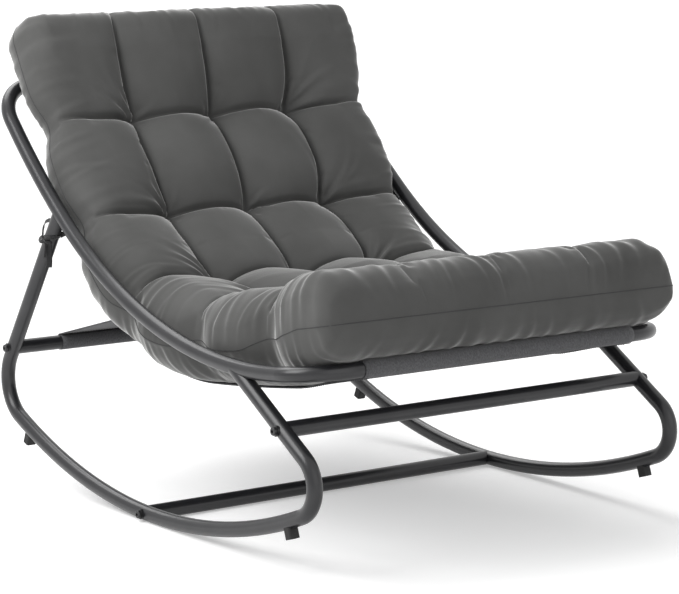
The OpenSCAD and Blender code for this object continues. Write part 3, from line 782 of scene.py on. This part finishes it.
# %% Ring, knot and bow
def tie_strips():
    """The left tie's strips: ring, strap, knot, loop and two ends."""
    centre = TIE + 0.0075 * LEG
    turns = np.linspace(0, 2 * pi, 25)
    ring_points = [centre + Vector((0.01345 * cos(a), 0.0162 * sin(a), 0.001 * cos(a))) for a in turns]
    yield ring_points, [LEG] * len(turns), 0.46
    seam = Vector((-0.3470, 0.2427, 0.4653))
    inner = centre + Vector((0.0134, -0.004, 0.001))
    strap = [inner, (inner + seam) / 2 + Vector((0.002, 0, -0.003)), seam]
    yield strap, [LEG, LEG, Vector((0, -0.3, 1))], 0.6
    knot = TIE + Vector((-0.0143, 0.0060, 0.0012))
    knot_turns = np.linspace(0.3, 2 * pi + 0.2, 19)
    spokes = [cos(a) * RIGHT + 1.35 * sin(a) * Vector((0, -0.3, 0.95)) for a in knot_turns]
    yield [knot + 0.0035 * spoke for spoke in spokes], [0.8 * AWAY + 0.5 * spoke for spoke in spokes], 0.5
    loop = [
        (-0.0110, 0.0085, 0.0050), (-0.0074, 0.0134, 0.0153), (-0.0041, 0.0149, 0.0235),
        (0.0027, 0.0162, 0.0298), (0.0094, 0.0166, 0.0319), (0.0164, 0.0169, 0.0279),
        (0.0174, 0.0156, 0.0176), (0.0107, 0.0162, 0.0077), (0.0000, 0.0151, 0.0048)]
    edge_on, turned = AWAY + 0.10 * RIGHT, AWAY + Vector((-0.2, 0.1, 0.55))
    yield [TIE + Vector(p) for p in loop], [edge_on] * 3 + [turned] * 3 + [edge_on] * 3, 0.7
    thin_end = [
        (-0.0155, 0.0030, 0.0046), (-0.0175, -0.0115, -0.0029), (-0.0182, -0.0131, -0.0112),
        (-0.0195, -0.0137, -0.0196), (-0.0206, -0.0137, -0.0272)]
    yield [TIE + Vector(p) for p in thin_end], [AWAY + 0.15 * RIGHT] * len(thin_end), 0.7
    wide_end = [
        (-0.0150, 0.0015, 0.0036), (-0.0118, -0.0111, -0.0051), (-0.0114, -0.0120, -0.0187),
        (-0.0099, -0.0101, -0.0327), (-0.0094, -0.0079, -0.0459)]
    turning = [RIGHT] * 3 + [RIGHT + 0.15 * AWAY, RIGHT + 0.3 * AWAY]
    yield [TIE + Vector(p) for p in wide_end], turning, 0.72


def tie_ribbon(name, mirror):
    """The whole tie as one piece, as it is for the left leg or mirrored for the right."""
    verts, faces, uvs = [], [], []
    for path, widths, scale in tie_strips():
        v, f, uv = ribbon_strip([tuple(p) for p in path], [tuple(w) for w in widths], scale)
        faces += [[k + len(verts) for k in face] for face in f]
        verts += v.tolist()
        uvs += uv.tolist()
    verts = np.array(verts) * ((-1, 1, 1) if mirror else (1, 1, 1))
    piece = mesh_object(name, verts, [face[::-1] for face in faces] if mirror else faces)
    layer = piece.data.uv_layers.new(name="cut")
    for loop in piece.data.loops:
        layer.data[loop.index].uv = uvs[loop.vertex_index]
    thicken(piece, RIBBON_THICK)
    return piece


left_ribbon, right_ribbon = tie_ribbon("left_ribbon", False), tie_ribbon("right_ribbon", True)
print("ribbon points:", len(left_ribbon.data.vertices))

# %% [markdown]
# ## Finishes
# Every finish is a Principled shader with small patterns of its own. A helper adds a node and its
# settings, and others link a soft change of colour and a fine bump to the shader. Constant values are
# set on the shader itself.

# %% A finish and its nodes
def new_finish(name, colour, roughness, **sockets):
    material = bpy.data.materials.new(name)
    material.use_nodes = True
    shader = material.node_tree.nodes["Principled BSDF"]
    shader.inputs["Base Color"].default_value = (*colour, 1)
    shader.inputs["Roughness"].default_value = roughness
    for socket, value in sockets.items():
        shader.inputs[socket.replace("_", " ")].default_value = value
    return material, shader


def add_node(material, kind, **settings):
    node = material.node_tree.nodes.new(kind)
    for key, value in settings.items():
        if key in node.inputs:
            node.inputs[key].default_value = value
        else:
            setattr(node, key, value)
    return node


print("finishes so far:", len(bpy.data.materials))

# %% Small patterns
def noise(material, scale, detail=2.0, stretch=(1, 1, 1)):
    """Cloudy patches fixed to the piece itself; a larger scale makes them smaller."""
    links = material.node_tree.links
    place = add_node(material, "ShaderNodeTexCoord")
    size = add_node(material, "ShaderNodeMapping")
    size.inputs["Scale"].default_value = stretch
    texture = add_node(material, "ShaderNodeTexNoise", Scale=scale, Detail=detail)
    links.new(place.outputs["Object"], size.inputs["Vector"])
    links.new(size.outputs["Vector"], texture.inputs["Vector"])
    return texture.outputs["Fac"]


def colour_between(material, shader, factor, dark, light):
    """Two shades of the base colour, mixed by a pattern."""
    ramp = add_node(material, "ShaderNodeValToRGB")
    for stop, position, colour in zip(ramp.color_ramp.elements, (0.3, 0.7), (dark, light)):
        stop.position, stop.color = position, (*colour, 1)
    material.node_tree.links.new(factor, ramp.inputs["Fac"])
    material.node_tree.links.new(ramp.outputs["Color"], shader.inputs["Base Color"])


def bump(material, shader, heights):
    """heights is a list of (height output, strength, depth in metres), the coarsest first."""
    before = None
    for height, strength, depth in heights:
        node = add_node(material, "ShaderNodeBump", Strength=strength, Distance=depth)
        material.node_tree.links.new(height, node.inputs["Height"])
        if before:
            material.node_tree.links.new(before.outputs["Normal"], node.inputs["Normal"])
        before = node
    material.node_tree.links.new(before.outputs["Normal"], shader.inputs["Normal"])


print("helpers:", noise.__name__, colour_between.__name__, bump.__name__)

# %% [markdown]
# Velvet is a short dense pile. It looks dark from straight on and bright at a glancing angle, because
# the tips of the pile catch the light, so the shader's sheen does most of the work. The pile also lies a
# little differently from place to place, which a broad noise gives as light and dark patches.

# %% Velvet
velvet, shader = new_finish(
    "velvet", (0.09, 0.09, 0.088), 0.8, Specular_IOR_Level=0.1, Sheen_Weight=1.0, Sheen_Roughness=0.30,
    Sheen_Tint=(1.0, 1.0, 0.99, 1))
colour_between(velvet, shader, noise(velvet, 7, 4), (0.072, 0.072, 0.070), (0.100, 0.100, 0.098))
bump(velvet, shader, [
    (noise(velvet, 24, 2), 0.15, 0.003),
    (noise(velvet, 900, 2), 0.3, 0.0003)])
# A dark thread finish: the real stitches of the sling and flap, and on the cushion's seam also painted
# shade in its groove.
dark_thread_and_seam_shade, shader = new_finish("dark_thread_and_seam_shade", (0.055, 0.055, 0.056), 0.8, Specular_IOR_Level=0.2)
bump(dark_thread_and_seam_shade, shader, [(noise(dark_thread_and_seam_shade, 900), 0.5, 0.0003)])
print("nodes in the velvet:", len(velvet.node_tree.nodes))

# %% [markdown]
# The tubes have a satin black powder coat: a fine orange peel under a soft gloss. Bolts are the same
# black but oiled steel, the stops are matt rubber, and the plugs inside the tubes are bright zinc.

# %% Paint, steel and rubber
paint, shader = new_finish("satin_black_paint", (0.018, 0.018, 0.020), 0.29, Specular_IOR_Level=0.5)
colour_between(paint, shader, noise(paint, 22, 3), (0.012, 0.012, 0.014), (0.019, 0.019, 0.021))
bump(paint, shader, [(noise(paint, 650, 2), 0.10, 0.0003), (noise(paint, 2200, 1), 0.08, 0.0001)])

black_steel, shader = new_finish("black_oxide_steel", (0.035, 0.035, 0.037), 0.32, Metallic=0.7)
colour_between(
    black_steel, shader, noise(black_steel, 260, 3), (0.030, 0.030, 0.031), (0.060, 0.060, 0.062))
bump(black_steel, shader, [(noise(black_steel, 1800, 2), 0.15, 0.0001)])

zinc, shader = new_finish("bright_zinc", (0.45, 0.45, 0.46), 0.35, Metallic=1.0)
colour_between(zinc, shader, noise(zinc, 300, 3), (0.40, 0.40, 0.41), (0.52, 0.52, 0.53))
bump(zinc, shader, [(noise(zinc, 1200, 2, (0.1, 1, 1)), 0.2, 0.0001)])

rubber, shader = new_finish("matt_rubber", (0.020, 0.020, 0.020), 0.7, Specular_IOR_Level=0.35)
colour_between(rubber, shader, noise(rubber, 120, 3), (0.016, 0.016, 0.016), (0.026, 0.026, 0.026))
bump(rubber, shader, [(noise(rubber, 1100, 3), 0.4, 0.0004)])
print("hard finishes:", paint.name, black_steel.name, zinc.name, rubber.name)

# %% [markdown]
# The sling is a plain weave of thick matt yarn, with lighter and darker yarns that give it a mottled
# look. The ribbon is grosgrain: fine ribs straight across it, close together.

# %% Threads from the cloth's own map
WAVES_PER_UNIT = 20


def ribs(material, across, along):
    """Two crossing sets of threads from the cloth's own UV map, thread widths in metres."""
    place = add_node(material, "ShaderNodeUVMap", uv_map="cut")
    out = []
    for direction, width in (("X", across), ("Y", along)):
        wave = add_node(
            material, "ShaderNodeTexWave", bands_direction=direction,
            Scale=2 * pi / width / WAVES_PER_UNIT, Distortion=0.4)
        material.node_tree.links.new(place.outputs["UV"], wave.inputs["Vector"])
        out.append(wave.outputs["Fac"])
    both = add_node(material, "ShaderNodeMath", operation="MAXIMUM")
    for k in range(2):
        material.node_tree.links.new(out[k], both.inputs[k])
    return both.outputs["Value"], out


print("a wave texture of scale 1 has a thread each", round(2 * pi / WAVES_PER_UNIT, 3), "m")

# %% Woven cloth and ribbon
weave, shader = new_finish(
    "woven_cloth", (0.090, 0.090, 0.095), 0.9, Specular_IOR_Level=0.2, Sheen_Weight=0.15)
colour_between(
    weave, shader, noise(weave, 520, 3, (1, 0.6, 0.6)), (0.068, 0.068, 0.071), (0.118, 0.118, 0.124))
threads, _ = ribs(weave, 0.0016, 0.0016)
bump(weave, shader, [(threads, 0.35, 0.0003), (noise(weave, 1500), 0.2, 0.0002)])

# The hems are darker than the sling's own cloth: painted shade for the dark band along the sling's edge,
# where it lies in shadow under the cushion.
turned_hem_painted_shade, shader = new_finish("turned_hem_painted_shade", (0.050, 0.050, 0.053), 0.9, Specular_IOR_Level=0.2)
colour_between(turned_hem_painted_shade, shader, noise(turned_hem_painted_shade, 420, 3), (0.036, 0.036, 0.038), (0.072, 0.072, 0.075))
bump(turned_hem_painted_shade, shader, [(noise(turned_hem_painted_shade, 900), 0.5, 0.0004)])

black_ribbon, shader = new_finish(
    "grosgrain_ribbon", (0.012, 0.012, 0.013), 0.6, Specular_IOR_Level=0.3, Sheen_Weight=0.2)
colour_between(
    black_ribbon, shader, noise(black_ribbon, 300), (0.010, 0.010, 0.011), (0.018, 0.018, 0.019))
_, (_, cross_ribs) = ribs(black_ribbon, 0.004, 0.0009)
bump(black_ribbon, shader, [(cross_ribs, 0.8, 0.0003)])
print("cloth finishes:", weave.name, turned_hem_painted_shade.name, black_ribbon.name)

# %% Give each piece its finish
FINISHES = {
    "frame": paint, "fastener": black_steel, "plug": zinc, "foot": rubber,
    "sling": weave, "velvet": velvet, "ribbon": black_ribbon}
for row in frame["record"]["subparts"]:
    node = nodes[row["node"]]
    node.data.materials.clear()
    node.data.materials.append(FINISHES[row["material_slot"]])

made = [
    (cushion, velvet, "velvet"), (sewn_edge_with_painted_shade, dark_thread_and_seam_shade, "velvet"),
    (sling_cloth, weave, "sling"), (sling_hem, turned_hem_painted_shade, "sling"), (sling_thread, dark_thread_and_seam_shade, "sling"),
    (flap_cloth, weave, "sling"), (flap_hem, turned_hem_painted_shade, "sling"), (flap_thread, dark_thread_and_seam_shade, "sling"),
    (left_ribbon, black_ribbon, "ribbon"), (right_ribbon, black_ribbon, "ribbon")]
for piece, finish, slot in made:
    piece.data.materials.append(finish)
    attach(piece, "root")
print("finished pieces:", len(made), "and", len(nodes), "CAD nodes")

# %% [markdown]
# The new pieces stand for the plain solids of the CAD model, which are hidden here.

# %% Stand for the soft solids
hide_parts("cushion")
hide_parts("sling")
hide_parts("rear_flap")
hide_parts("left_tie")
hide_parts("right_tie")
print("the sling has", round(SLING_WIDTH * float(sling_length), 2), "square metres of cloth")

# %% [markdown]
# ## Floor and light
# The floor is a wide pale plane. A broad key light stands high behind the chair, so that it grazes the
# pillows and throws the soft shadow forward. A softbox on the left gives the tubes their bright band, a
# weak light from the front opens the shadow under the cushion's front roll, and a white world fills the
# rest. Together they are at a level where a colour renders about as it is written.

# %% The floor
FLOOR_SIZE, FLOOR_GLOW = 160, 0.34


def seen_rays(tree, path_node):
    """1 for camera, glossy and transmission rays, else 0."""
    seen = path_node.outputs["Is Camera Ray"]
    for kind in ("Is Glossy Ray", "Is Transmission Ray"):
        either = tree.nodes.new("ShaderNodeMath")
        either.operation = "MAXIMUM"
        tree.links.new(seen, either.inputs[0])
        tree.links.new(path_node.outputs[kind], either.inputs[1])
        seen = either.outputs["Value"]
    return seen


bpy.ops.mesh.primitive_plane_add(size=FLOOR_SIZE)
floor = bpy.context.object
floor.name = "floor"
floor_finish, shader = new_finish("pale_floor", (0.86, 0.86, 0.86), 0.9, Specular_IOR_Level=0.0)
tree = floor_finish.node_tree
path_node = tree.nodes.new("ShaderNodeLightPath")
glow = tree.nodes.new("ShaderNodeEmission")
glow.inputs["Color"].default_value = (1, 1, 1, 1)
share = tree.nodes.new("ShaderNodeMath")
share.operation = "MULTIPLY"
share.inputs[1].default_value = FLOOR_GLOW
both = tree.nodes.new("ShaderNodeAddShader")
tree.links.new(seen_rays(tree, path_node), share.inputs[0])
tree.links.new(share.outputs["Value"], glow.inputs["Strength"])
tree.links.new(shader.outputs["BSDF"], both.inputs[0])
tree.links.new(glow.outputs["Emission"], both.inputs[1])
tree.links.new(both.outputs["Shader"], tree.nodes["Material Output"].inputs["Surface"])
floor.data.materials.append(floor_finish)
print("floor:", FLOOR_SIZE, "m wide")

# %% The white world
WORLD_SEEN, WORLD_LIGHT = 1.0, 0.56

world = bpy.data.worlds.new("world")
scene.world = world
world.use_nodes = True
tree = world.node_tree
tree.nodes.clear()
seen, fill_light = tree.nodes.new("ShaderNodeBackground"), tree.nodes.new("ShaderNodeBackground")
for background, level in ((seen, WORLD_SEEN), (fill_light, WORLD_LIGHT)):
    background.inputs["Color"].default_value = (1, 1, 1, 1)
    background.inputs["Strength"].default_value = level
rays = tree.nodes.new("ShaderNodeLightPath")
chooser, out = tree.nodes.new("ShaderNodeMixShader"), tree.nodes.new("ShaderNodeOutputWorld")
tree.links.new(seen_rays(tree, rays), chooser.inputs["Fac"])
tree.links.new(fill_light.outputs["Background"], chooser.inputs[1])
tree.links.new(seen.outputs["Background"], chooser.inputs[2])
tree.links.new(chooser.outputs["Shader"], out.inputs["Surface"])
print("world level:", WORLD_LIGHT)

# %% The lamps
def sun(name, towards, angle, strength):
    light = bpy.data.lights.new(name, "SUN")
    light.angle, light.energy = radians(angle), strength
    holder = bpy.data.objects.new(name, light)
    scene.collection.objects.link(holder)
    holder.rotation_euler = Vector(towards).to_track_quat("Z", "Y").to_euler()


sun("key", (0.08, 0.60, 0.79), 45, 1.65)
sun("front_fill", (-0.1, -0.9, 0.35), 60, 0.40)

softbox = bpy.data.lights.new("softbox", "AREA")
softbox.shape, softbox.size, softbox.energy = "SQUARE", 1.0, 18
holder = bpy.data.objects.new("softbox", softbox)
scene.collection.objects.link(holder)
holder.location = (-1.4, 0.1, 1.35)
holder.rotation_euler = (holder.location - Vector((-0.1, 0.35, 0.6))).to_track_quat("Z", "Y").to_euler()
holder.visible_camera = False
print("lamps:", len(bpy.data.lights))
